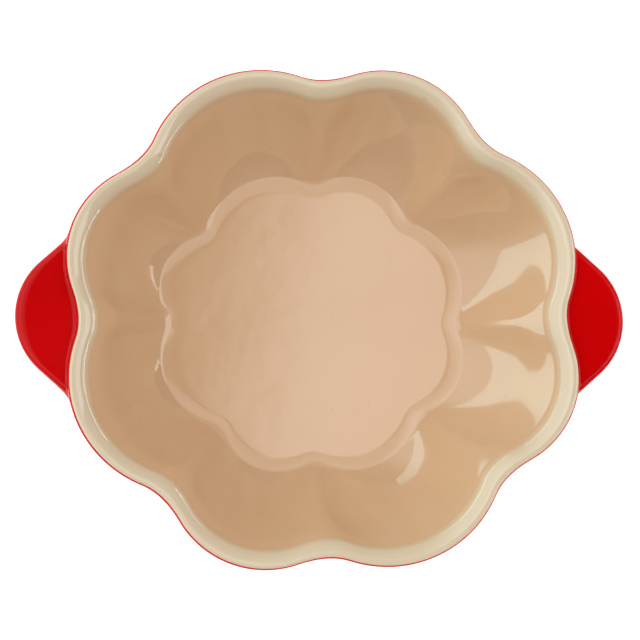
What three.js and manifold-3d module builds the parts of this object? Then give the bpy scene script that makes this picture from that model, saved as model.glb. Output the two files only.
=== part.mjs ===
// Pumpkin cocotte: an open, eight-lobed stoneware oven dish with a wing lug at each end,
// cream glaze inside and over the rim, red glaze outside. Millimetres, +Z up.
// The origin is the middle of the foot's resting plane, and +X runs along the two lugs.
import * as THREE from "three";
import { mergeVertices } from "three/addons/utils/BufferGeometryUtils.js";
import Module from "manifold-3d";

const wasm = await Module();
wasm.setup();

// Lobed outline
const RIM_R = 109.1; // bare rim through a lobe crest, across the lugs
const RIM_GROOVE = 9.1; // how far the rim draws in between two lobes
const LENGTH_STRETCH = 1.035; // the body is this much longer along the lugs than across them
const LOBES = 8;
const DIAGONAL_TURN = 4; // degrees by which the diagonal grooves stand round from the bisectors
const RIM_SOFTNESS = 14.4; // blend length of the rim's grooves
const WALL_SOFTNESS = 4; // blend length at the floor and the foot, where the grooves are sharper
const MOST_BLEND = 3; // a blend is at most this many times its groove's depth

// Bowl section
const BODY_HEIGHT = 50; // bare body, foot to rim
const SHOULDER_R = 1; // rounding of the rim's outer edge
const TOP_FLAT = 0.7; // level band along the top of the rim
const TOP_TURN_R = 1.5; // rounding from that band down into the rim's inward bevel
const BEVEL_START = 20; // degrees from level, the upper edge of the bevel
const BEVEL_END = 45; // degrees from level, its lower edge
const BEVEL_R = 10; // crown of the bevel
const LIP_EDGE_R = 0.8; // rounding from the bevel down into the lip
const LIP_DROP = 3; // steep lip under the bevel
const LIP_SLOPE = 60; // degrees from level
const WALL_SLOPE = 48; // degrees from level, where the wall leaves the lip
const INSIDE_DEPTH = 41;
const FLOOR_R = 61; // level floor, through a lobe crest
const FLOOR_GROOVE = 4.5;
const FLOOR_FILLET = 12; // between the floor and a lobe's wall
const FLOOR_SLOPE = 33; // degrees from level, a lobe's wall above that fillet
const RIDGE_FILLET = 9; // between the floor and the ridge that a groove makes inside
const RIDGE_SLOPE = 46; // degrees from level, the ridge above that fillet
const OUTER_LEAN = 9; // degrees from upright, outer wall just under the rim
const FOOT_R = 65; // outer edge of the foot ring, through a lobe crest
const FOOT_GROOVE = 3;
const FOOT_WIDTH = 6;
const FOOT_LIFT = 2.5; // height of the foot ring

// How far each end of a wall curve keeps its direction, as a share of the curve's run
const INNER_REACH = 0.33;
const OUTER_TOP_REACH = 0.34;
const OUTER_FOOT_REACH = 0.4;

// Wing lugs
const LUG_LENGTH = 25.2; // from the bottom of the rim's groove out to the tip
const LUG_TIP_R = 29; // rounded tip, in plan
const LUG_TIP_ANGLE = 49; // degrees of the tip's arc on each side, before the straight flank
const LUG_TOP_DROP = 4; // from the bare rim down to the lug's top
const LUG_THICKNESS = 11; // at the root
const LUG_TIP_THICKNESS = 7;
const LUG_EDGE_R = 1.8; // rounding of the lug's edges
const LUG_ROOT_DEPTH = 14; // flank's run past the rim's groove, into the wall

// Coats and joints
const COAT_GAP = 0.3; // between a coat, or a seam, and what carries it
const GLAZE = 0.6; // thickness of a glaze coat
const SEAM = 0.9; // thickness of the slip that lutes a lug to the wall
const GLAZE_LINE = 52; // degrees above level on the outer shoulder, where cream meets red

// Facets
const SEGMENTS = LOBES * 10;
const WALL_STEPS = 9;
const FILLET_STEPS = 2;
const SHOULDER_STEPS = 2;
const BEVEL_STEPS = 2;
const LUG_CURVE_STEPS = 8;
const LUG_EDGE_STEPS = 2;
const TINY = 1e-3; // lengths below this count as nothing

const COAT_OUT = COAT_GAP + GLAZE;
const SEAM_OUT = COAT_GAP + SEAM;
const FLOOR_Z = BODY_HEIGHT - INSIDE_DEPTH;
const GROOVE_X = (RIM_R - RIM_GROOVE) * LENGTH_STRETCH; // bottom of the groove that a lug fills
const LUG_REACH = GROOVE_X + LUG_LENGTH;
const rad = THREE.MathUtils.degToRad;
const at = (r, z) => new THREE.Vector2(r, z);
const heading = (slope, run) => at(run * Math.cos(rad(slope)), run * Math.sin(rad(slope)));

const CREST = {
  rim: RIM_R,
  floor: FLOOR_R,
  foot: FOOT_R,
  fillet: FLOOR_FILLET,
  slope: FLOOR_SLOPE,
};
const GROOVE = {
  rim: RIM_R - RIM_GROOVE,
  floor: FLOOR_R - FLOOR_GROOVE,
  foot: FOOT_R - FOOT_GROOVE,
  fillet: RIDGE_FILLET,
  slope: RIDGE_SLOPE,
};

// An arc between two directions in degrees above level.
function arc(centre, radius, from, to) {
  return new THREE.EllipseCurve(
    centre.x, centre.y, radius, radius, rad(from), rad(to), from > to,
  );
}

// An arc that runs into a given point.
const arcInto = (point, radius, from, to) =>
  arc(point.clone().sub(heading(to, radius)), radius, from, to);

// An arc of the rim's outer shoulder.
const shoulder = (side, from, to) =>
  arc(at(side.rim - SHOULDER_R, BODY_HEIGHT - SHOULDER_R), SHOULDER_R, from, to);

// The inside of a section, from the middle of the floor up to the rim's level top.
function insideCurves(side) {
  const flat = at(side.rim - SHOULDER_R - TOP_FLAT, BODY_HEIGHT);
  const topTurn = arcInto(flat, TOP_TURN_R, 90 + BEVEL_START, 90);
  const bevel = arcInto(topTurn.getPoint(0), BEVEL_R, 90 + BEVEL_END, 90 + BEVEL_START);
  const lipEdge = arcInto(bevel.getPoint(0), LIP_EDGE_R, 90 + LIP_SLOPE, 90 + BEVEL_END);
  const lipTop = lipEdge.getPoint(0);
  const lipFoot = at(
    lipTop.x - LIP_DROP / Math.tan(rad(LIP_SLOPE)),
    lipTop.y - LIP_DROP,
  );
  const floorEdge = at(side.floor, FLOOR_Z);
  const fillet = arc(at(side.floor, FLOOR_Z + side.fillet), side.fillet, -90, side.slope - 90);
  const wallFoot = fillet.getPoint(1);
  const reach = INNER_REACH * wallFoot.distanceTo(lipFoot);
  const wall = new THREE.CubicBezierCurve(
    wallFoot,
    wallFoot.clone().add(heading(side.slope, reach)),
    lipFoot.clone().sub(heading(WALL_SLOPE, reach)),
    lipFoot,
  );
  return [
    [new THREE.LineCurve(at(0, FLOOR_Z), floorEdge), 1],
    [fillet, FILLET_STEPS],
    [wall, WALL_STEPS],
    [new THREE.LineCurve(lipFoot, lipTop), 1],
    [lipEdge, 1],
    [bevel, BEVEL_STEPS],
    [topTurn, 1],
  ];
}

// The level top of the rim.
function topCurve(side) {
  const outer = at(side.rim - SHOULDER_R, BODY_HEIGHT);
  const inner = at(outer.x - TOP_FLAT, BODY_HEIGHT);
  return [new THREE.LineCurve(inner, outer), 1];
}

// The outer shoulder in two parts, above and below the line where cream meets red.
const creamShoulder = (side) =>
  [shoulder(side, 90, GLAZE_LINE), SHOULDER_STEPS];
const redShoulder = (side, from = GLAZE_LINE) =>
  [shoulder(side, from, 0), SHOULDER_STEPS];

// The outer wall, from the rim's outer edge down to the top of the foot ring.
function outerWall(side) {
  const top = at(side.rim, BODY_HEIGHT - SHOULDER_R);
  const bottom = at(side.foot, FOOT_LIFT);
  const drop = OUTER_TOP_REACH * (top.y - bottom.y);
  const wall = new THREE.CubicBezierCurve(
    top,
    at(top.x - drop * Math.tan(rad(OUTER_LEAN)), top.y - drop),
    at(bottom.x + OUTER_FOOT_REACH * (top.x - bottom.x), bottom.y),
    bottom,
  );
  return [wall, WALL_STEPS];
}

// The foot ring and the recess inside it, ending on the axis.
function footCurves(side) {
  const outer = side.foot - COAT_GAP;
  const inner = side.foot - FOOT_WIDTH;
  return [
    [new THREE.LineCurve(at(side.foot, FOOT_LIFT), at(outer, FOOT_LIFT)), 1],
    [new THREE.LineCurve(at(outer, FOOT_LIFT), at(outer, 0)), 1],
    [new THREE.LineCurve(at(outer, 0), at(inner, 0)), 1],
    [new THREE.LineCurve(at(inner, 0), at(inner, FOOT_LIFT)), 1],
    [new THREE.LineCurve(at(inner, FOOT_LIFT), at(0, FOOT_LIFT)), 1],
  ];
}

// Points along a run of curves, each set off by a distance to the left of its direction of travel,
// with a mitre where two curves meet at a corner.
function trace(curves, offset = 0) {
  const points = [];
  curves.forEach(([curve, steps], k) => {
    for (let i = k ? 1 : 0; i <= steps; i++) {
      const p = curve.getPoint(i / steps);
      const along = curve.getTangent(i / steps);
      const way = along.clone();
      if (i === steps && k + 1 < curves.length) {
        way.add(curves[k + 1][0].getTangent(0)).normalize();
      }
      const mitred = offset / way.dot(along);
      points.push(at(Math.max(p.x - mitred * way.y, 0), p.y + mitred * way.x));
    }
  });
  return points;
}

// Rings of the bowl: each has one point on the crest section and one on the groove section, and
// the blend length that the bare surface under it has.
function rings(curvesOf, offset) {
  const bare = trace(curvesOf(CREST));
  const crest = trace(curvesOf(CREST), offset);
  const groove = trace(curvesOf(GROOVE), offset);
  return bare.map((b, i) => ({ crest: crest[i], groove: groove[i], soft: softnessAt(b.x) }));
}

// A ring shrunk to a point on the axis.
const axisRing = (z) => ({ crest: at(0, z), groove: at(0, z), soft: 0 });

// Directions of the grooves: on the axes, and turned a little from the diagonals.
const grooveAngles = Array.from({ length: LOBES + 1 }, (_, k) =>
  rad((360 / LOBES) * k + (k % 2 ? DIAGONAL_TURN : 0)));

// Blend length of the grooves at a radius: sharp up to the middle of the wall, soft at the rim.
function softnessAt(radius) {
  const middle = (FLOOR_R + RIM_R) / 2;
  const share = THREE.MathUtils.smoothstep(radius, middle, RIM_R - RIM_GROOVE);
  return THREE.MathUtils.lerp(WALL_SOFTNESS, RIM_SOFTNESS, share * share);
}

// Radius of the lobed outline at an angle: each lobe is an arc through its crest and its two
// grooves, and two neighbours melt into each other over the blend length.
function lobedRadius(angle, crest, groove, blend) {
  if (crest - groove < TINY) return crest;
  const soft = Math.min(blend, MOST_BLEND * (crest - groove));
  const sharp = groove - soft / 4;
  const reach = grooveAngles.slice(0, LOBES).map((from, k) => {
    const half = (grooveAngles[k + 1] - from) / 2;
    const middle = from + half;
    const turn = THREE.MathUtils.euclideanModulo(angle - middle + Math.PI, 2 * Math.PI) - Math.PI;
    const centre = (crest ** 2 - sharp ** 2) / (2 * (crest - sharp * Math.cos(half)));
    const inside = (crest - centre) ** 2 - (centre * Math.sin(turn)) ** 2;
    const faces = Math.cos(turn) > 0 && inside > 0;
    return faces ? centre * Math.cos(turn) + Math.sqrt(inside) : 0;
  });
  const [first, second] = reach.sort((a, b) => b - a);
  const melt = Math.max(1 - (first - second) / soft, 0);
  return first + (soft / 4) * melt * melt;
}

// A closed solid swept round the axis through a list of rings.
function lobedLathe(ringList) {
  const geometry = new THREE.LatheGeometry(ringList.map((ring) => ring.crest), SEGMENTS);
  const position = geometry.getAttribute("position");
  for (let i = 0; i <= SEGMENTS; i++) {
    const angle = ((i % SEGMENTS) * 2 * Math.PI) / SEGMENTS;
    ringList.forEach(({ crest, groove, soft }, j) => {
      const radius = lobedRadius(angle, crest.x, groove.x, soft);
      const depth = crest.x - groove.x;
      const share = depth > TINY ? (radius - groove.x) / depth : 1;
      position.setXYZ(
        i * ringList.length + j,
        radius * Math.cos(angle) * LENGTH_STRETCH,
        radius * Math.sin(angle),
        THREE.MathUtils.lerp(groove.y, crest.y, share),
      );
    });
  }
  return toSolid(geometry);
}

// A closed three.js geometry as a solid that can be joined and cut.
function toSolid(geometry) {
  const bare = new THREE.BufferGeometry();
  bare.setAttribute("position", geometry.getAttribute("position"));
  bare.setIndex(geometry.index);
  const merged = mergeVertices(bare, TINY);
  const triangles = [];
  for (let i = 0; i < merged.index.count; i += 3) {
    const [a, b, c] = merged.index.array.subarray(i, i + 3);
    if (a !== b && b !== c && c !== a) triangles.push(a, b, c);
  }
  return new wasm.Manifold(new wasm.Mesh({
    numProp: 3,
    vertProperties: merged.getAttribute("position").array,
    triVerts: new Uint32Array(triangles),
  }));
}

function toGeometry(solid) {
  const mesh = solid.getMesh();
  const geometry = new THREE.BufferGeometry();
  geometry.setAttribute("position", new THREE.BufferAttribute(mesh.vertProperties, 3));
  geometry.setIndex(new THREE.BufferAttribute(mesh.triVerts, 1));
  geometry.computeVertexNormals();
  return geometry;
}

// The outer form of the body, filled, grown by an offset, for cutting what is fitted to it.
function filledBody(offset) {
  const skin = rings((side) => [redShoulder(side), outerWall(side)], offset);
  const top = axisRing(skin[0].crest.y);
  const foot = axisRing(skin[skin.length - 1].crest.y);
  return lobedLathe([top, ...skin, foot].reverse());
}

// A coat over a run of curves: out along its outer face, and back along its inner face. A coat
// that doesn't start on the axis closes on its own first ring.
function coat(curvesOf) {
  const outer = rings(curvesOf, COAT_OUT);
  const inner = rings(curvesOf, COAT_GAP).reverse();
  const closing = outer[0].crest.x > 0 ? [outer[0]] : [];
  return [...outer, ...inner, ...closing];
}

// A solid lug pointing along +X, grown by an offset: a rounded tip, straight flanks, a root that
// runs on into the wall, a level top and an underside that rises towards the tip.
function lugForm(offset) {
  const tip = rad(LUG_TIP_ANGLE);
  const edge = LUG_EDGE_R;
  const tipR = LUG_TIP_R - edge + offset;
  const centreX = LUG_REACH - LUG_TIP_R;
  const rootX = GROOVE_X - LUG_ROOT_DEPTH;
  const shoulderX = centreX + tipR * Math.cos(tip);
  const shoulderY = tipR * Math.sin(tip);
  const rootY = shoulderY + (shoulderX - rootX) / Math.tan(tip);
  const plan = new THREE.Shape();
  plan.moveTo(rootX, -rootY);
  plan.lineTo(shoulderX, -shoulderY);
  plan.absarc(centreX, 0, tipR, -tip, tip, false);
  plan.lineTo(rootX, rootY);
  plan.closePath();
  const geometry = new THREE.ExtrudeGeometry(plan, {
    depth: LUG_THICKNESS - 2 * edge + 2 * offset,
    bevelThickness: edge,
    bevelSize: edge,
    bevelSegments: LUG_EDGE_STEPS,
    curveSegments: LUG_CURVE_STEPS,
  });
  geometry.translate(0, 0, edge - LUG_THICKNESS - offset);
  const position = geometry.getAttribute("position");
  for (let i = 0; i < position.count; i++) {
    const share = (position.getX(i) - rootX) / (LUG_REACH - rootX);
    const thinned = THREE.MathUtils.lerp(1, LUG_TIP_THICKNESS / LUG_THICKNESS, share);
    position.setZ(i, BODY_HEIGHT - LUG_TOP_DROP + position.getZ(i) * thinned);
  }
  return toSolid(geometry);
}

const group = new THREE.Group();
group.name = "pumpkin_cocotte";

function addPart(name, solid, look) {
  const mesh = new THREE.Mesh(toGeometry(solid), new THREE.MeshStandardMaterial(look));
  mesh.name = name;
  group.add(mesh);
}

const STONEWARE = { color: 0xcdb391, roughness: 0.85, metalness: 0 };
const SLIP = { color: 0xc2a582, roughness: 0.9, metalness: 0 };
const CREAM = { color: 0xdcc09c, roughness: 0.12, metalness: 0 };
const RED = { color: 0xc4060a, roughness: 0.12, metalness: 0 };

// Body
const wholeSection = (side) => [
  ...insideCurves(side),
  topCurve(side),
  creamShoulder(side),
  redShoulder(side),
  outerWall(side),
  ...footCurves(side),
];
addPart("stoneware_bowl", lobedLathe(rings(wholeSection, 0).reverse()), STONEWARE);

// Lugs and the slip that lutes each to its groove
const wallFace = filledBody(COAT_GAP);
const seamFace = filledBody(SEAM_OUT);
const lugSeat = filledBody(SEAM_OUT + COAT_GAP);
const lug = lugForm(0);
const seam = lug.intersect(seamFace).subtract(wallFace);
const bareLug = lug.subtract(lugSeat);
const turned = (solid) => solid.rotate([0, 0, 180]);
addPart("right_handle", bareLug, STONEWARE);
addPart("left_handle", turned(bareLug), STONEWARE);
addPart("right_luting_seam", seam, SLIP);
addPart("left_luting_seam", turned(seam), SLIP);

// Cream coat over the inside and the rim
const creamCurves = (side) => [...insideCurves(side), topCurve(side), creamShoulder(side)];
addPart("interior_glaze", lobedLathe(coat(creamCurves).reverse()), CREAM);

// Red coat over the outside and both lugs
const lugCore = lugForm(COAT_GAP);
const lugSkin = lugForm(COAT_OUT).subtract(wallFace);
const redStart = GLAZE_LINE - THREE.MathUtils.radToDeg(COAT_GAP / SHOULDER_R);
const redCurves = (side) => [redShoulder(side, redStart), outerWall(side)];
const redBody = lobedLathe(coat(redCurves).reverse());
const exterior = redBody
  .add(lugSkin)
  .add(turned(lugSkin))
  .subtract(lugCore)
  .subtract(turned(lugCore));
addPart("exterior_glaze", exterior, RED);

// Red coat in the recess under the foot ring
function recessRing(inset, z) {
  return {
    crest: at(FOOT_R - FOOT_WIDTH - inset, z),
    groove: at(FOOT_R - FOOT_GROOVE - FOOT_WIDTH - inset, z),
    soft: WALL_SOFTNESS,
  };
}
const baseTop = FOOT_LIFT - COAT_GAP;
const baseBottom = baseTop - GLAZE;
const base = lobedLathe([
  axisRing(baseBottom),
  recessRing(COAT_GAP, baseBottom),
  recessRing(COAT_GAP, baseTop),
  axisRing(baseTop),
]);
addPart("base_glaze", base, RED);

export default group;
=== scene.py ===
import math

import bpy
import numpy as np
from mathutils import Matrix, Vector


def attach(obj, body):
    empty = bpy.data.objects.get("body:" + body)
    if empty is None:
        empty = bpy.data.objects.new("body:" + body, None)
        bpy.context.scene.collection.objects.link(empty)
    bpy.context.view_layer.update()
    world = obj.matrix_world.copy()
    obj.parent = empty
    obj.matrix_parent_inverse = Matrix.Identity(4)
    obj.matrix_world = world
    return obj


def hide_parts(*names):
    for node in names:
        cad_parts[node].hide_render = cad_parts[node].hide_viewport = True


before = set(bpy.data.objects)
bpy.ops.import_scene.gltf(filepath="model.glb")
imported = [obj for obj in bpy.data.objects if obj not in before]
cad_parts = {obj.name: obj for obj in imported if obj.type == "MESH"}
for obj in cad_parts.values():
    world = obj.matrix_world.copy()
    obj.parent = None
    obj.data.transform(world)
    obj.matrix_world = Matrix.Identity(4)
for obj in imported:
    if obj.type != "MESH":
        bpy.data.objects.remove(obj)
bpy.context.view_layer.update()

MM = 0.001
TINY = 1e-6

# Lobed outline, in millimetres and degrees, with the values that the solids have
RIM_R = 109.1
RIM_GROOVE = 9.1
LENGTH_STRETCH = 1.035
LOBES = 8
DIAGONAL_TURN = 4.0
RIM_SOFTNESS = 14.4
WALL_SOFTNESS = 4.0
MOST_BLEND = 3.0

# Bowl section
BODY_HEIGHT = 50.0
SHOULDER_R = 1.0
TOP_FLAT = 0.7
TOP_TURN_R = 1.5
BEVEL_START = 20.0
BEVEL_END = 45.0
BEVEL_R = 10.0
LIP_EDGE_R = 0.8
LIP_DROP = 3.0
LIP_SLOPE = 60.0
WALL_SLOPE = 48.0
INSIDE_DEPTH = 41.0
FLOOR_R = 61.0
FLOOR_GROOVE = 4.5
FLOOR_FILLET = 12.0
FLOOR_SLOPE = 33.0
RIDGE_FILLET = 9.0
RIDGE_SLOPE = 46.0
OUTER_LEAN = 9.0
FOOT_R = 65.0
FOOT_GROOVE = 3.0
FOOT_WIDTH = 6.0
FOOT_LIFT = 2.5
FOOT_EDGE_R = 0.8
INNER_REACH = 0.33
OUTER_TOP_REACH = 0.34
OUTER_FOOT_REACH = 0.4

# Dish of the floor, which is level in the solids
FLOOR_DISH = 1.5      # how far the floor's edge stands above its middle
FLOOR_EASE = 1.5      # how far inside the level floor's edge the rise to the wall sets in
EASE_PULL = 0.40      # how closely that rise keeps to the floor at its start
WALL_PULL = 0.60      # how closely it keeps to the wall at its end

# Wing lugs
LUG_LENGTH = 25.2
LUG_TIP_R = 29.0
LUG_TIP_ANGLE = 49.0
LUG_TOP_DROP = 4.0
LUG_THICKNESS = 11.0
LUG_TIP_THICKNESS = 7.0
LUG_EDGE_R = 1.8
LUG_ROOT_DEPTH = 14.0
LUG_FILLET = 2.2      # where the lug's faces run into the wall
LUG_SIDE_FILLET = 2.5  # where its flanks run into the wall, in plan
LUG_SPAN = 32.0       # degrees from the long axis, past which no column is part of a lug

# How the red coat's rows pass from plain wall to lug, by how far the lug stands out
LEAST_OUT = 0.05      # the least that a section is drawn with
SPARE_OUT = 0.5       # flat left between the section's fillet and its rounded edge
FULL_OUT = 1.2        # where the section stands out in full
GATHER_START = 0.6    # where the rows begin to gather from the wall into the section
GATHER_END = 6.0      # where they all lie on the section
ROW_MARGIN = 1.0      # how far past the section the same rows spread on plain wall
THIN_END = 1.05       # share of the lug's length at which it stops thinning

# Coats
COAT_GAP = 0.3
GLAZE = 0.6
COAT_OUT = COAT_GAP + GLAZE
GLAZE_LINE = 52.0
GLAZE_TUCK = 6.0      # degrees that the red runs on under the cream's edge
TUCK_DROP = 0.25      # how much lower the red lies there
TUCK_ROWS = 3.0       # rows over which it comes up again
RIM_LIGHT_START = 6.0      # how far below the body's top the painted rim light begins
RIM_LIGHT_END = 1.0        # how far below it the painted rim light is full

# Steps along each part of a section, and columns round the dish
COLUMNS = 640
FLOOR_STEPS = 24
FILLET_STEPS = 28
INNER_WALL_STEPS = 48
LIP_STEPS = 5
LIP_EDGE_STEPS = 8
BEVEL_STEPS = 10
TOP_TURN_STEPS = 6
TOP_STEPS = 3
CREAM_SHOULDER_STEPS = 8
RED_SHOULDER_STEPS = 10
CLAY_SHOULDER_STEPS = 16
RED_WALL_STEPS = 160
CLAY_WALL_STEPS = 64
LUG_EDGE_STEPS = 8
LUG_FACE_STEPS = 11
ABOVE_LUG_STEPS = 21
BELOW_LUG_STEPS = 49
FOOT_SIDE_STEPS = 3
FOOT_EDGE_STEPS = 6
FOOT_FACE_STEPS = 6
BASE_STEPS = 10
BASE_EDGE_STEPS = 8

# Sizes that follow from these
FLOOR_Z = BODY_HEIGHT - INSIDE_DEPTH
GROOVE_X = (RIM_R - RIM_GROOVE) * LENGTH_STRETCH
LUG_ROOT_X = GROOVE_X - LUG_ROOT_DEPTH
LUG_REACH = GROOVE_X + LUG_LENGTH
RED_LUG_TOP = BODY_HEIGHT - LUG_TOP_DROP + COAT_OUT
RED_LUG_THICKNESS = LUG_THICKNESS + 2 * COAT_OUT
RED_LUG_EDGE_R = LUG_EDGE_R + COAT_OUT


class Side:
    """The sizes of one section: through a lobe's crest, or through a groove."""

    def __init__(self, rim, floor, foot, fillet, slope):
        self.rim = rim
        self.floor = floor
        self.foot = foot
        self.fillet = fillet
        self.slope = slope


CREST = Side(RIM_R, FLOOR_R, FOOT_R, FLOOR_FILLET, FLOOR_SLOPE)
GROOVE = Side(RIM_R - RIM_GROOVE, FLOOR_R - FLOOR_GROOVE, FOOT_R - FOOT_GROOVE,
              RIDGE_FILLET, RIDGE_SLOPE)


def smoothstep(x, low, high):
    t = np.clip((x - low) / (high - low), 0.0, 1.0)
    return t * t * (3.0 - 2.0 * t)


# Section curves: each returns points and unit directions of travel

def line(a, b, steps):
    t = np.linspace(0.0, 1.0, steps + 1)[:, None]
    a = np.array(a)
    b = np.array(b)
    way = np.repeat(((b - a) / np.linalg.norm(b - a))[None], steps + 1, 0)
    return a + (b - a) * t, way


def arc(centre, radius, start, end, steps):
    t = np.radians(np.linspace(start, end, steps + 1))
    turn = np.sign(end - start)
    points = np.stack([centre[0] + radius * np.cos(t), centre[1] + radius * np.sin(t)], 1)
    return points, turn * np.stack([-np.sin(t), np.cos(t)], 1)


def bezier(p0, p1, p2, p3, steps):
    t = np.linspace(0.0, 1.0, steps + 1)[:, None]
    p0, p1, p2, p3 = (np.array(p) for p in (p0, p1, p2, p3))
    points = ((1 - t) ** 3 * p0 + 3 * (1 - t) ** 2 * t * p1
              + 3 * (1 - t) * t ** 2 * p2 + t ** 3 * p3)
    way = ((1 - t) ** 2 * (p1 - p0) + 2 * (1 - t) * t * (p2 - p1) + t ** 2 * (p3 - p2))
    return points, way / np.linalg.norm(way, axis=1)[:, None]


def heading(slope, run):
    return run * np.array([math.cos(math.radians(slope)), math.sin(math.radians(slope))])


def arc_into(point, radius, start, end, steps):
    """An arc that ends at a given point."""
    return arc(np.array(point) - heading(end, radius), radius, start, end, steps)


def floor_curves(side):
    """The dished floor from its middle to its edge, and the rise from there to the wall."""
    rise = math.radians(side.slope)
    tangent = side.fillet * math.tan(rise / 2)
    sharp = np.array((side.floor + tangent, FLOOR_Z))
    wall_foot = sharp + heading(side.slope, tangent)
    edge = side.floor - FLOOR_EASE
    middle = FLOOR_Z - FLOOR_DISH / 2
    climb = FLOOR_DISH * (edge / FLOOR_R) ** 2
    tilt = 2 * climb / edge
    start = np.array((edge, middle + climb))
    run = (math.tan(rise) * (sharp[0] - edge) + start[1] - FLOOR_Z) / (math.tan(rise) - tilt)
    corner = start + run * np.array((1.0, tilt))
    floor = bezier((0.0, middle), (edge / 3, middle),
                   (edge * 2 / 3, middle + climb / 3), start, FLOOR_STEPS)
    fillet = bezier(start, start + EASE_PULL * (corner - start),
                    wall_foot + WALL_PULL * (corner - wall_foot), wall_foot, FILLET_STEPS)
    return [floor, fillet]


def rim_curves(side):
    """The lip, its rounded edge, the crowned bevel and the turn onto the level band."""
    flat = (side.rim - SHOULDER_R - TOP_FLAT, BODY_HEIGHT)
    top_turn = arc_into(flat, TOP_TURN_R, 90 + BEVEL_START, 90, TOP_TURN_STEPS)
    bevel = arc_into(top_turn[0][0], BEVEL_R, 90 + BEVEL_END, 90 + BEVEL_START, BEVEL_STEPS)
    lip_edge = arc_into(bevel[0][0], LIP_EDGE_R, 90 + LIP_SLOPE, 90 + BEVEL_END, LIP_EDGE_STEPS)
    lip_top = lip_edge[0][0]
    lip_foot = lip_top - np.array([LIP_DROP / math.tan(math.radians(LIP_SLOPE)), LIP_DROP])
    return [line(lip_foot, lip_top, LIP_STEPS), lip_edge, bevel, top_turn]


def inside_curves(side):
    """From the middle of the floor up the wall to the level band."""
    below = floor_curves(side)
    above = rim_curves(side)
    wall_foot = below[-1][0][-1]
    lip_foot = above[0][0][0]
    reach = INNER_REACH * np.linalg.norm(lip_foot - wall_foot)
    wall = bezier(wall_foot, wall_foot + heading(side.slope, reach),
                  lip_foot - heading(WALL_SLOPE, reach), lip_foot, INNER_WALL_STEPS)
    return [*below, wall, *above]


def top_curve(side):
    outer = side.rim - SHOULDER_R
    return line((outer - TOP_FLAT, BODY_HEIGHT), (outer, BODY_HEIGHT), TOP_STEPS)


def outer_shoulder(side, start, end, steps):
    return arc((side.rim - SHOULDER_R, BODY_HEIGHT - SHOULDER_R), SHOULDER_R, start, end, steps)


def outer_wall(side, steps):
    top = (side.rim, BODY_HEIGHT - SHOULDER_R)
    drop = OUTER_TOP_REACH * (top[1] - FOOT_LIFT)
    return bezier(top,
                  (top[0] - drop * math.tan(math.radians(OUTER_LEAN)), top[1] - drop),
                  (side.foot + OUTER_FOOT_REACH * (top[0] - side.foot), FOOT_LIFT),
                  (side.foot, FOOT_LIFT), steps)


def trace(curves, offset):
    """Points along a run of curves, set off to the left of the way they run."""
    points = []
    for k, (p, way) in enumerate(curves):
        way = way.copy()
        if k + 1 < len(curves):
            way[-1] = way[-1] + curves[k + 1][1][0]
            way[-1] /= np.linalg.norm(way[-1])
        scale = offset / np.sum(way * curves[k][1], axis=1)
        off = p + scale[:, None] * np.stack([-way[:, 1], way[:, 0]], 1)
        points.append(off[1 if k else 0:])
    out = np.concatenate(points)
    out[:, 0] = np.maximum(out[:, 0], 0.0)
    return out


# Lobes

GROOVE_ANGLES = np.radians([360.0 / LOBES * k + (DIAGONAL_TURN if k % 2 else 0.0)
                            for k in range(LOBES + 1)])


def softness(radius):
    """How far neighbouring lobes melt together: little on the wall, more towards the rim."""
    share = smoothstep(radius, (FLOOR_R + RIM_R) / 2, RIM_R - RIM_GROOVE)
    return WALL_SOFTNESS + (RIM_SOFTNESS - WALL_SOFTNESS) * share * share


def lobed_radius(angle, crest, groove, blend):
    """Radius of one ring at each angle: arcs through crest and grooves, melted together."""
    if crest - groove < TINY:
        return np.full_like(angle, crest)
    soft = min(blend, MOST_BLEND * (crest - groove))
    sharp = groove - soft / 4
    reach = []
    for k in range(LOBES):
        half = (GROOVE_ANGLES[k + 1] - GROOVE_ANGLES[k]) / 2
        turn = (angle - GROOVE_ANGLES[k] - half + math.pi) % (2 * math.pi) - math.pi
        centre = (crest ** 2 - sharp ** 2) / (2 * (crest - sharp * math.cos(half)))
        inside = (crest - centre) ** 2 - (centre * np.sin(turn)) ** 2
        faces = (np.cos(turn) > 0) & (inside > 0)
        reach.append(np.where(faces, centre * np.cos(turn) + np.sqrt(np.maximum(inside, 0)), 0))
    reach = np.sort(np.array(reach), axis=0)
    first, second = reach[-1], reach[-2]
    melt = np.maximum(1 - (first - second) / soft, 0)
    return first + soft / 4 * melt * melt


def lobed_rows(curves_of, offset):
    """Radius and height of every row and column of a lobed sheet."""
    angle = np.arange(COLUMNS) * 2 * math.pi / COLUMNS
    bare = trace(curves_of(CREST), 0.0)
    crest = trace(curves_of(CREST), offset)
    groove = trace(curves_of(GROOVE), offset)
    radius = np.zeros((len(bare), COLUMNS))
    height = np.zeros((len(bare), COLUMNS))
    for j in range(len(bare)):
        r = lobed_radius(angle, crest[j, 0], groove[j, 0], softness(bare[j, 0]))
        depth = crest[j, 0] - groove[j, 0]
        share = (r - groove[j, 0]) / depth if depth > TINY else np.ones_like(r)
        radius[j] = r
        height[j] = groove[j, 1] + (crest[j, 1] - groove[j, 1]) * share
    return angle, radius, height


# Pieces from rows and columns

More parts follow.
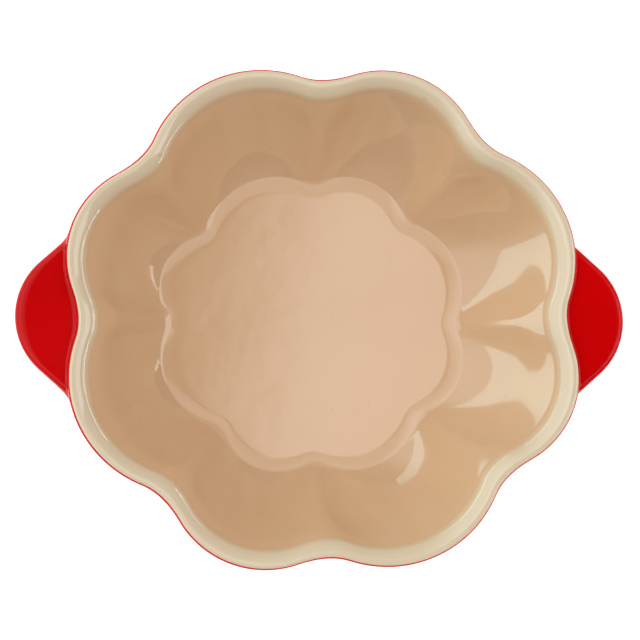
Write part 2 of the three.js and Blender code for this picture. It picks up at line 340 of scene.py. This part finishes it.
def sheet_mesh(name, angle, radius, height):
    """A grid of rows and columns as a mesh; a first or last row on the axis becomes one point."""
    rows, columns = radius.shape
    x = radius * np.cos(angle) * LENGTH_STRETCH
    y = radius * np.sin(angle)
    grid = np.stack([x, y, height], -1) * MM
    first_pole = radius[0].max() < TINY
    last_pole = radius[-1].max() < TINY
    start = 1 if first_pole else 0
    stop = rows - 1 if last_pole else rows
    vertices = [tuple(v) for v in grid[start:stop].reshape(-1, 3)]
    faces = []
    last_row = (stop - start - 1) * columns
    for a in range(0, last_row, columns):
        b = a + columns
        for i in range(columns):
            k = (i + 1) % columns
            faces.append((a + i, b + i, b + k, a + k))
    if first_pole:
        vertices.append(tuple(grid[0, 0]))
        pole = len(vertices) - 1
        faces += [(pole, i, (i + 1) % columns) for i in range(columns)]
    if last_pole:
        vertices.append(tuple(grid[-1, 0]))
        pole = len(vertices) - 1
        faces += [(pole, last_row + (i + 1) % columns, last_row + i) for i in range(columns)]
    mesh = bpy.data.meshes.new(name)
    mesh.from_pydata(vertices, [], faces)
    mesh.validate()
    mesh.update()
    mesh.shade_smooth()
    piece = bpy.data.objects.new(name, mesh)
    bpy.context.scene.collection.objects.link(piece)
    return piece


def thicken(piece, thickness):
    """Give a sheet its thickness, inwards from the face that shows."""
    solid = piece.modifiers.new("coat", "SOLIDIFY")
    solid.thickness = thickness * MM
    solid.offset = -1.0
    solid.use_even_offset = False


def add_float_attribute(piece, name, values):
    attribute = piece.data.attributes.new(name, "FLOAT", "POINT")
    attribute.data.foreach_set("value", np.asarray(values, dtype=np.float32))


def finish_piece(piece, material, slot, *nodes):
    piece.data.materials.append(material)
    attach(piece, "root")
    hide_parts(*nodes)


# Shading

def grey(value):
    return (value, value, value)


def greys(stops):
    """Stops of a ramp in plain grey, from places and values."""
    return [(place, grey(value)) for place, value in stops]


class Tree:
    """The nodes of a material or of the studio, and the coordinates that they read."""

    def __init__(self, owner, coordinates):
        owner.use_nodes = True
        self.nodes = owner.node_tree.nodes
        self.links = owner.node_tree.links
        self.coordinates = self.nodes.new("ShaderNodeTexCoord").outputs[coordinates]

    def noise(self, scale, detail):
        node = self.nodes.new("ShaderNodeTexNoise")
        node.inputs["Scale"].default_value = scale
        node.inputs["Detail"].default_value = detail
        self.links.new(self.coordinates, node.inputs["Vector"])
        return node.outputs["Fac"]

    def attribute(self, name):
        node = self.nodes.new("ShaderNodeAttribute")
        node.attribute_name = name
        return node.outputs["Fac"]

    def along(self, way):
        """How far each direction points along one way."""
        node = self.nodes.new("ShaderNodeVectorMath")
        node.operation = "DOT_PRODUCT"
        node.inputs[1].default_value = way
        self.links.new(self.coordinates, node.inputs[0])
        return node.outputs["Value"]

    def ramp(self, source, stops):
        node = self.nodes.new("ShaderNodeValToRGB")
        elements = node.color_ramp.elements
        while len(elements) < len(stops):
            elements.new(0.5)
        for element, (place, colour) in zip(elements, stops):
            element.position = place
            element.color = (*colour, 1.0)
        self.links.new(source, node.inputs["Fac"])
        return node.outputs["Color"]

    def mix(self, factor, a, b, blend="MIX"):
        node = self.nodes.new("ShaderNodeMix")
        node.data_type = "RGBA"
        node.blend_type = blend
        if isinstance(factor, float):
            node.inputs["Factor"].default_value = factor
        else:
            self.links.new(factor, node.inputs["Factor"])
        for socket, value in (("A", a), ("B", b)):
            target = next(s for s in node.inputs if s.name == socket and s.type == "RGBA")
            if isinstance(value, tuple):
                target.default_value = (*value, 1.0)
            else:
                self.links.new(value, target)
        return next(s for s in node.outputs if s.type == "RGBA")

    def bump(self, height, strength, distance):
        node = self.nodes.new("ShaderNodeBump")
        node.inputs["Strength"].default_value = strength
        node.inputs["Distance"].default_value = distance
        self.links.new(height, node.inputs["Height"])
        return node.outputs["Normal"]


# Materials: a cloudy tint with fine specks or grains in it, in scales per metre
CLOUD_LOW = 0.3
CLOUD_HIGH = 0.7
GLAZE_DETAIL = 4.0
CLAY_DETAIL = 5.0
FINE_DETAIL = 2.0
GLAZE_ROUGHNESS = (0.04, 0.07)
GLAZE_BUMP = 0.08
GLAZE_BUMP_DEPTH = 0.0006
CLAY_ROUGHNESS = (0.78, 0.92)
CLAY_BUMP = 0.5
CLAY_BUMP_DEPTH = 0.0003
CREAM_IOR = 1.75
CREAM_CLOUDS = 22.0
CREAM_WAVES = 60.0
CREAM_SPECKS = 420.0
CREAM_TINT = ((0.725, 0.450, 0.252), (0.755, 0.480, 0.276))
# Paler cream near the body's top: painted light on the rim, which catches more light than the
# walls
CREAM_RIM_LIGHT = (0.81, 0.65, 0.445)
CREAM_SPECK = (0.52, 0.36, 0.22)
CREAM_SPECK_SHARE = ((0.70, 0.0), (0.78, 0.35))
RED_IOR = 1.3
RED_CLOUDS = 18.0
RED_WAVES = 55.0
RED_SPECKS = 500.0
RED_TINT = ((0.60, 0.0008, 0.0016), (0.71, 0.0014, 0.0024))
RED_SPECK = (0.40, 0.0006, 0.001)
RED_SPECK_SHARE = ((0.68, 0.0), (0.78, 0.4))
CLAY_CLOUDS = 40.0
CLAY_GRAINS = 900.0
CLAY_TINT = ((0.56, 0.42, 0.28), (0.66, 0.52, 0.36))
SLIP_TINT = ((0.48, 0.34, 0.22), (0.58, 0.43, 0.28))
CLAY_SPECK = (0.27, 0.17, 0.10)
CLAY_SPECK_SHARE = ((0.62, 0.0), (0.72, 0.6))


def new_material(name):
    material = bpy.data.materials.new(name)
    tree = Tree(material, "Object")
    return material, tree, tree.nodes["Principled BSDF"]


def cloudy(tree, cloud, low, high):
    return tree.ramp(cloud, [(CLOUD_LOW, low), (CLOUD_HIGH, high)])


def set_surface(tree, shader, colour, roughness, normal):
    tree.links.new(colour, shader.inputs["Base Color"])
    tree.links.new(roughness, shader.inputs["Roughness"])
    tree.links.new(normal, shader.inputs["Normal"])


def set_glaze(tree, shader, colour, cloud, wave_scale):
    """A glassy surface, hazier in places, with the faint waves of a fired glaze."""
    roughness = cloudy(tree, cloud, *map(grey, GLAZE_ROUGHNESS))
    wave = tree.noise(wave_scale, FINE_DETAIL)
    set_surface(tree, shader, colour, roughness, tree.bump(wave, GLAZE_BUMP, GLAZE_BUMP_DEPTH))


def cream_glaze():
    material, tree, shader = new_material("cream_glaze")
    cloud = tree.noise(CREAM_CLOUDS, GLAZE_DETAIL)
    # Painted light: towards the body's top the cream is mixed paler, as the rim catches more light
    colour = tree.mix(tree.attribute("edge"), cloudy(tree, cloud, *CREAM_TINT), CREAM_RIM_LIGHT)
    specks = tree.ramp(tree.noise(CREAM_SPECKS, FINE_DETAIL), greys(CREAM_SPECK_SHARE))
    colour = tree.mix(specks, colour, CREAM_SPECK)
    set_glaze(tree, shader, colour, cloud, CREAM_WAVES)
    shader.inputs["IOR"].default_value = CREAM_IOR
    return material


def red_glaze():
    material, tree, shader = new_material("red_glaze")
    cloud = tree.noise(RED_CLOUDS, GLAZE_DETAIL)
    specks = tree.ramp(tree.noise(RED_SPECKS, FINE_DETAIL), greys(RED_SPECK_SHARE))
    colour = tree.mix(specks, cloudy(tree, cloud, *RED_TINT), RED_SPECK)
    set_glaze(tree, shader, colour, cloud, RED_WAVES)
    shader.inputs["IOR"].default_value = RED_IOR
    return material


def bare_clay(name, tint):
    material, tree, shader = new_material(name)
    cloud = tree.noise(CLAY_CLOUDS, CLAY_DETAIL)
    grains = tree.noise(CLAY_GRAINS, FINE_DETAIL)
    specks = tree.ramp(grains, greys(CLAY_SPECK_SHARE))
    colour = tree.mix(specks, cloudy(tree, cloud, *tint), CLAY_SPECK)
    roughness = cloudy(tree, grains, *map(grey, CLAY_ROUGHNESS))
    normal = tree.bump(grains, CLAY_BUMP, CLAY_BUMP_DEPTH)
    set_surface(tree, shader, colour, roughness, normal)
    return material


CREAM = cream_glaze()
RED = red_glaze()
CLAY = bare_clay("stoneware", CLAY_TINT)
SLIP = bare_clay("slip", SLIP_TINT)


# Cream coat over the inside and the rim, paler along the rim: painted light on the exposed rim

def cream_curves(side):
    return [*inside_curves(side), top_curve(side),
            outer_shoulder(side, 90, GLAZE_LINE, CREAM_SHOULDER_STEPS)]


cream_angle, cream_radius, cream_height = lobed_rows(cream_curves, COAT_OUT)
cream = sheet_mesh("cream_coat", cream_angle, cream_radius, cream_height)
# How much painted rim light each point gets, by its height below the body's top
rim_light_share = smoothstep(cream_height, BODY_HEIGHT - RIM_LIGHT_START, BODY_HEIGHT - RIM_LIGHT_END)
add_float_attribute(cream, "edge", np.append(rim_light_share[1:].ravel(), 0.0))
thicken(cream, GLAZE)
finish_piece(cream, CREAM, "cream_glaze", "interior_glaze")


# Red coat over the outside, growing out into a lug at each end

def lug_outline(angle, offset):
    """How far the lug's plan outline reaches along each column, in the rings' own radius."""
    way = np.stack([np.abs(np.cos(angle)) * LENGTH_STRETCH, np.abs(np.sin(angle))], 1)
    tip = math.radians(LUG_TIP_ANGLE)
    centre_x = LUG_REACH - LUG_TIP_R
    r = LUG_TIP_R + offset
    a = np.sum(way * way, axis=1)
    b = way[:, 0] * centre_x
    root = np.maximum(b * b - a * (centre_x ** 2 - r ** 2), 0)
    disc = (b + np.sqrt(root)) / a
    flank_normal = np.array([math.cos(tip), math.sin(tip)])
    flank_at = centre_x * flank_normal[0] + r
    along = way @ flank_normal
    flank = flank_at / np.maximum(along, TINY)
    hit = disc[:, None] * way
    on_tip = np.arctan2(hit[:, 1], hit[:, 0] - centre_x) < tip
    reach = np.where(on_tip, disc, flank)
    return np.where(way[:, 1] < way[:, 0] * math.tan(math.radians(LUG_SPAN)), reach, 0.0)


def lug_profile(reach, fillet, edge, thickness):
    """A lug's section as height under its top, and reach out of the wall, top to bottom."""
    quarter = np.linspace(0, math.pi / 2, LUG_EDGE_STEPS + 1)
    fade = np.linspace(0, 1, LUG_FACE_STEPS + 1)[1:-1]
    upper = [(fillet - fillet * math.sin(q), fillet - fillet * math.cos(q)) for q in quarter]
    top = [(0.0, fillet + (reach - edge - fillet) * t) for t in fade]
    upper_edge = [(-edge + edge * math.cos(q), reach - edge + edge * math.sin(q))
                  for q in quarter]
    face = [(-edge - (thickness - 2 * edge) * t, reach) for t in fade[::2]]
    lower_edge = [(-thickness + edge - edge * math.sin(q), reach - edge + edge * math.cos(q))
                  for q in quarter]
    under = [(-thickness, reach - edge - (reach - edge - fillet) * t) for t in fade]
    lower = [(-thickness - fillet + fillet * math.cos(q), fillet - fillet * math.sin(q))
             for q in quarter]
    return np.array(upper + top + upper_edge + face + lower_edge + under + lower)


def red_column(angle, reach, wall_r, wall_z):
    """One column of the red coat below the shoulder: wall, lug's section, wall to the foot."""
    def wall_at(z):
        return np.interp(-z, -wall_z, wall_r)

    root_r = wall_at(RED_LUG_TOP - RED_LUG_THICKNESS / 2)
    past_wall = reach - root_r
    out = 0.5 * (past_wall + math.sqrt(past_wall * past_wall + LUG_SIDE_FILLET ** 2))
    drawn = max(out, LEAST_OUT)
    size = min(1.0, drawn / (LUG_FILLET + RED_LUG_EDGE_R + SPARE_OUT))
    section = lug_profile(drawn, LUG_FILLET * size, RED_LUG_EDGE_R * size, RED_LUG_THICKNESS)
    rise, stand = section.T
    run = (root_r + stand) * abs(math.cos(angle)) * LENGTH_STRETCH
    thin = 1 + (LUG_TIP_THICKNESS / LUG_THICKNESS - 1) * np.clip(
        (run - LUG_ROOT_X) / (LUG_REACH - LUG_ROOT_X), 0, THIN_END)
    gathered = np.where(rise < 0, rise * thin, rise)
    plain = np.linspace(rise[0] + ROW_MARGIN, rise[-1] - ROW_MARGIN, len(section))
    z = RED_LUG_TOP + plain + (gathered - plain) * smoothstep(out, GATHER_START, GATHER_END)
    swell = stand * smoothstep(out, 0.0, FULL_OUT)
    upright = smoothstep(swell, 0.0, 2 * LUG_FILLET)
    lug_r = wall_at(z) + (root_r - wall_at(z)) * upright + swell
    z_above = wall_z[0] + (z[0] - wall_z[0]) * np.linspace(0, 1, ABOVE_LUG_STEPS + 1)[:-1]
    z_below = z[-1] + (wall_z[-1] - z[-1]) * np.linspace(0, 1, BELOW_LUG_STEPS + 1)[1:]
    r_below = wall_at(z_below)
    r_below[-1] = wall_r[-1]
    return (np.concatenate([wall_at(z_above), lug_r, r_below]),
            np.concatenate([z_above, z, z_below]))


def red_curves(side):
    return [outer_shoulder(side, GLAZE_LINE + GLAZE_TUCK, 0, RED_SHOULDER_STEPS),
            outer_wall(side, RED_WALL_STEPS)]


def red_rows():
    """Rows of the red coat: the shoulder, tucked under the cream, and the columns below it."""
    angle, radius, height = lobed_rows(red_curves, COAT_OUT)
    tuck = smoothstep(np.arange(len(radius)), TUCK_ROWS, 0.0) * TUCK_DROP
    radius = radius - tuck[:, None]
    height = height - tuck[:, None]
    shoulder_r, wall_r = np.split(radius, [RED_SHOULDER_STEPS])
    shoulder_z, wall_z = np.split(height, [RED_SHOULDER_STEPS])
    reach = lug_outline(angle, COAT_OUT)
    columns = [red_column(angle[i], reach[i], wall_r[:, i], wall_z[:, i])
               for i in range(COLUMNS)]
    below_r, below_z = np.array(columns).transpose(1, 2, 0)
    return angle, np.concatenate([shoulder_r, below_r]), np.concatenate([shoulder_z, below_z])


red = sheet_mesh("red_coat", *red_rows())
thicken(red, GLAZE)
finish_piece(red, RED, "red_glaze", "exterior_glaze")


# Clay body, which shows at the foot ring

def clay_curves(side):
    outer = side.foot - COAT_GAP
    inner = side.foot - FOOT_WIDTH
    soft = FOOT_EDGE_R
    return [
        *inside_curves(side),
        top_curve(side),
        outer_shoulder(side, 90, 0, CLAY_SHOULDER_STEPS),
        outer_wall(side, CLAY_WALL_STEPS),
        line((side.foot, FOOT_LIFT), (outer, FOOT_LIFT), 1),
        line((outer, FOOT_LIFT), (outer, soft), FOOT_SIDE_STEPS),
        arc((outer - soft, soft), soft, 0, -90, FOOT_EDGE_STEPS),
        line((outer - soft, 0.0), (inner + soft, 0.0), FOOT_FACE_STEPS),
        arc((inner + soft, soft), soft, -90, -180, FOOT_EDGE_STEPS),
        line((inner, soft), (inner, FOOT_LIFT), FOOT_SIDE_STEPS),
        line((inner, FOOT_LIFT), (0.0, FOOT_LIFT), BASE_STEPS),
    ]


clay = sheet_mesh("clay_body", *lobed_rows(clay_curves, 0.0))
finish_piece(clay, CLAY, "stoneware", "stoneware_bowl")


# Red coat in the recess under the foot, with a rounded edge

def base_curves(side):
    outer = side.foot - FOOT_WIDTH - COAT_GAP
    low = FOOT_LIFT - COAT_OUT
    half = GLAZE / 2
    return [
        line((0.0, low + GLAZE), (outer - half, low + GLAZE), BASE_STEPS),
        arc((outer - half, low + half), half, 90, -90, BASE_EDGE_STEPS),
        line((outer - half, low), (0.0, low), BASE_STEPS),
    ]


base = sheet_mesh("base_coat", *lobed_rows(base_curves, 0.0))
finish_piece(base, RED, "red_glaze", "base_glaze")

# Clay pieces that stay as they are under the glaze
for node, material in (("left_handle", CLAY), ("right_handle", CLAY),
                       ("left_luting_seam", SLIP), ("right_luting_seam", SLIP)):
    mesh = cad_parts[node].data
    mesh.materials.clear()
    mesh.materials.append(material)

# Studio floor, pale and matt, just under the foot; the studio and its camera are in metres
STAGE_HALF = 3.0
STAGE_Z = -0.0002
STAGE_TONE = 0.92
STAGE_ROUGHNESS = 0.9
STAGE_GLOW = 0.7
stage_mesh = bpy.data.meshes.new("studio_floor")
stage_mesh.from_pydata([(x * STAGE_HALF, y * STAGE_HALF, STAGE_Z)
                        for x, y in ((-1, -1), (1, -1), (1, 1), (-1, 1))],
                       [], [(0, 1, 2, 3)])
floor = bpy.data.objects.new("studio_floor", stage_mesh)
bpy.context.scene.collection.objects.link(floor)
stage_material = bpy.data.materials.new("studio_floor")
stage_material.use_nodes = True
stage_shader = stage_material.node_tree.nodes["Principled BSDF"]
stage_shader.inputs["Base Color"].default_value = (*grey(STAGE_TONE), 1.0)
stage_shader.inputs["Roughness"].default_value = STAGE_ROUGHNESS
stage_shader.inputs["Emission Color"].default_value = (*grey(1.0), 1.0)
stage_shader.inputs["Emission Strength"].default_value = STAGE_GLOW
stage_mesh.materials.append(stage_material)

# Soft studio surround: dim near the horizon, soft panels overhead and a glow from the left
UPWARDS = (0.0, 0.0, 1.0)
RIGHTWARDS = (1.0, -0.2, 0.1)
BACKWARDS = (0.0, 1.0, 0.1)
GLOW_FROM = (-0.755, 0.20, 0.625)
GLOW_TONE = (2.8, 3.0, 3.1)
HORIZON_TONE = (0.44, 0.42, 0.41)
LOW_TONE = (0.55, 0.52, 0.51)
HIGH_TONE = (1.1, 1.05, 1.02)
OVERHEAD_TONE = grey(0.02)
SKY_STOPS = ((0.0, HORIZON_TONE), (0.25, LOW_TONE), (0.5, HIGH_TONE), (0.9, HIGH_TONE),
             (0.96, OVERHEAD_TONE))
GLOW_STOPS = ((0.63, grey(0.0)), (0.80, GLOW_TONE))
PANEL_ACROSS = ((0.095, 2.4), (0.108, 0.2), (0.153, 0.2), (0.170, 5.0), (0.230, 6.9), (0.268, 0.0))
PANEL_DEPTH = ((0.06, 0.42), (0.10, 1.0), (0.24, 1.0), (0.30, 0.42), (0.40, 0.0))
PANEL_ENDS = ((0.05, 2.9), (0.09, 0.0), (0.235, 0.0), (0.275, 2.4))
PANEL_LIMIT = ((0.79, 0.0), (0.84, 1.0))
STUDIO_STRENGTH = 0.285


def overhead_panels(studio):
    """A bright middle panel with a dark bar to its left, and softer panels round it."""
    across = studio.ramp(studio.along(RIGHTWARDS), greys(PANEL_ACROSS))
    backwards = studio.along(BACKWARDS)
    depth = studio.ramp(backwards, greys(PANEL_DEPTH))
    middle = studio.mix(1.0, across, depth, "MULTIPLY")
    ends = studio.ramp(backwards, greys(PANEL_ENDS))
    panels = studio.mix(1.0, middle, ends, "LIGHTEN")
    limit = studio.ramp(studio.along(UPWARDS), greys(PANEL_LIMIT))
    return studio.mix(1.0, panels, limit, "MULTIPLY")


def surround():
    world = bpy.data.worlds.new("studio")
    bpy.context.scene.world = world
    studio = Tree(world, "Generated")
    sky = studio.ramp(studio.along(UPWARDS), SKY_STOPS)
    sky = studio.mix(1.0, sky, overhead_panels(studio), "ADD")
    glow = studio.ramp(studio.along(GLOW_FROM), GLOW_STOPS)
    sky = studio.mix(1.0, sky, glow, "ADD")
    background = studio.nodes["Background"]
    studio.links.new(sky, background.inputs["Color"])
    background.inputs["Strength"].default_value = STUDIO_STRENGTH


surround()


# Lamps

def area_light(name, azimuth, zenith, distance, width, tall, radiance, tint=grey(1.0)):
    """A soft rectangular lamp that faces the dish from a direction given in degrees."""
    data = bpy.data.lights.new(name, "AREA")
    data.shape = "RECTANGLE"
    data.size = width
    data.size_y = tall
    data.color = tint
    data.energy = radiance * math.pi * width * tall
    lamp = bpy.data.objects.new(name, data)
    bpy.context.scene.collection.objects.link(lamp)
    a = math.radians(azimuth)
    z = math.radians(zenith)
    way = Vector((math.sin(z) * math.cos(a), math.sin(z) * math.sin(a), math.cos(z)))
    lamp.location = way * distance + Vector((0, 0, BODY_HEIGHT * MM))
    lamp.rotation_euler = way.to_track_quat("Z", "Y").to_euler()


area_light("low_left_card", azimuth=154, zenith=80, distance=1.2, width=2.3, tall=0.30,
           radiance=1.6, tint=(0.66, 1.0, 0.93))
area_light("right_fill", azimuth=0, zenith=48, distance=1.5, width=0.8, tall=0.8, radiance=1.7)
area_light("right_strip", azimuth=5, zenith=86, distance=1.2, width=1.6, tall=0.04, radiance=9.0)
area_light("right_streak", azimuth=0, zenith=79, distance=1.3, width=0.5, tall=0.10, radiance=2.5)

# Camera: over the dish, a little to the left and towards the front
CAMERA_DISTANCE = 1.100
FLOOR_SHIFT_X = 6.1   # millimetres by which the dish's floor shows to the right of its rim
FLOOR_SHIFT_Y = 2.7   # and towards the back of it
FOCAL_PIXELS = 2622.0
IMAGE_PIXELS = 640.0
DISH_AT = (326.4, 317.6)  # pixels from the picture's left and top to the rim's centre
SENSOR = 36.0
CLIP_START = 0.01
rim_centre = Vector((0, 0, (BODY_HEIGHT + COAT_OUT) * MM))
shrink = CAMERA_DISTANCE / (CAMERA_DISTANCE + INSIDE_DEPTH * MM)
lean_x = FLOOR_SHIFT_X / (INSIDE_DEPTH * shrink)
lean_y = FLOOR_SHIFT_Y / (INSIDE_DEPTH * shrink)
stand = Vector((-lean_x, -lean_y, 1.0)) * CAMERA_DISTANCE
back = stand.normalized()
up = (Vector((0, 1, 0)) - back * back.y).normalized()
right = up.cross(back)
camera_data = bpy.data.cameras.new("camera")
camera_data.sensor_width = SENSOR
camera_data.lens = SENSOR * FOCAL_PIXELS * math.sqrt(1 + lean_x ** 2 + lean_y ** 2) / IMAGE_PIXELS
camera_data.shift_x = (IMAGE_PIXELS / 2 - DISH_AT[0]) / IMAGE_PIXELS
camera_data.shift_y = (DISH_AT[1] - IMAGE_PIXELS / 2) / IMAGE_PIXELS
camera_data.clip_start = CLIP_START
camera = bpy.data.objects.new("camera", camera_data)
bpy.context.scene.collection.objects.link(camera)
turn = Matrix((right, up, back)).transposed().to_4x4()
camera.matrix_world = Matrix.Translation(rim_centre + stand) @ turn
bpy.context.scene.camera = camera
bpy.context.scene.view_settings.view_transform = "Standard"
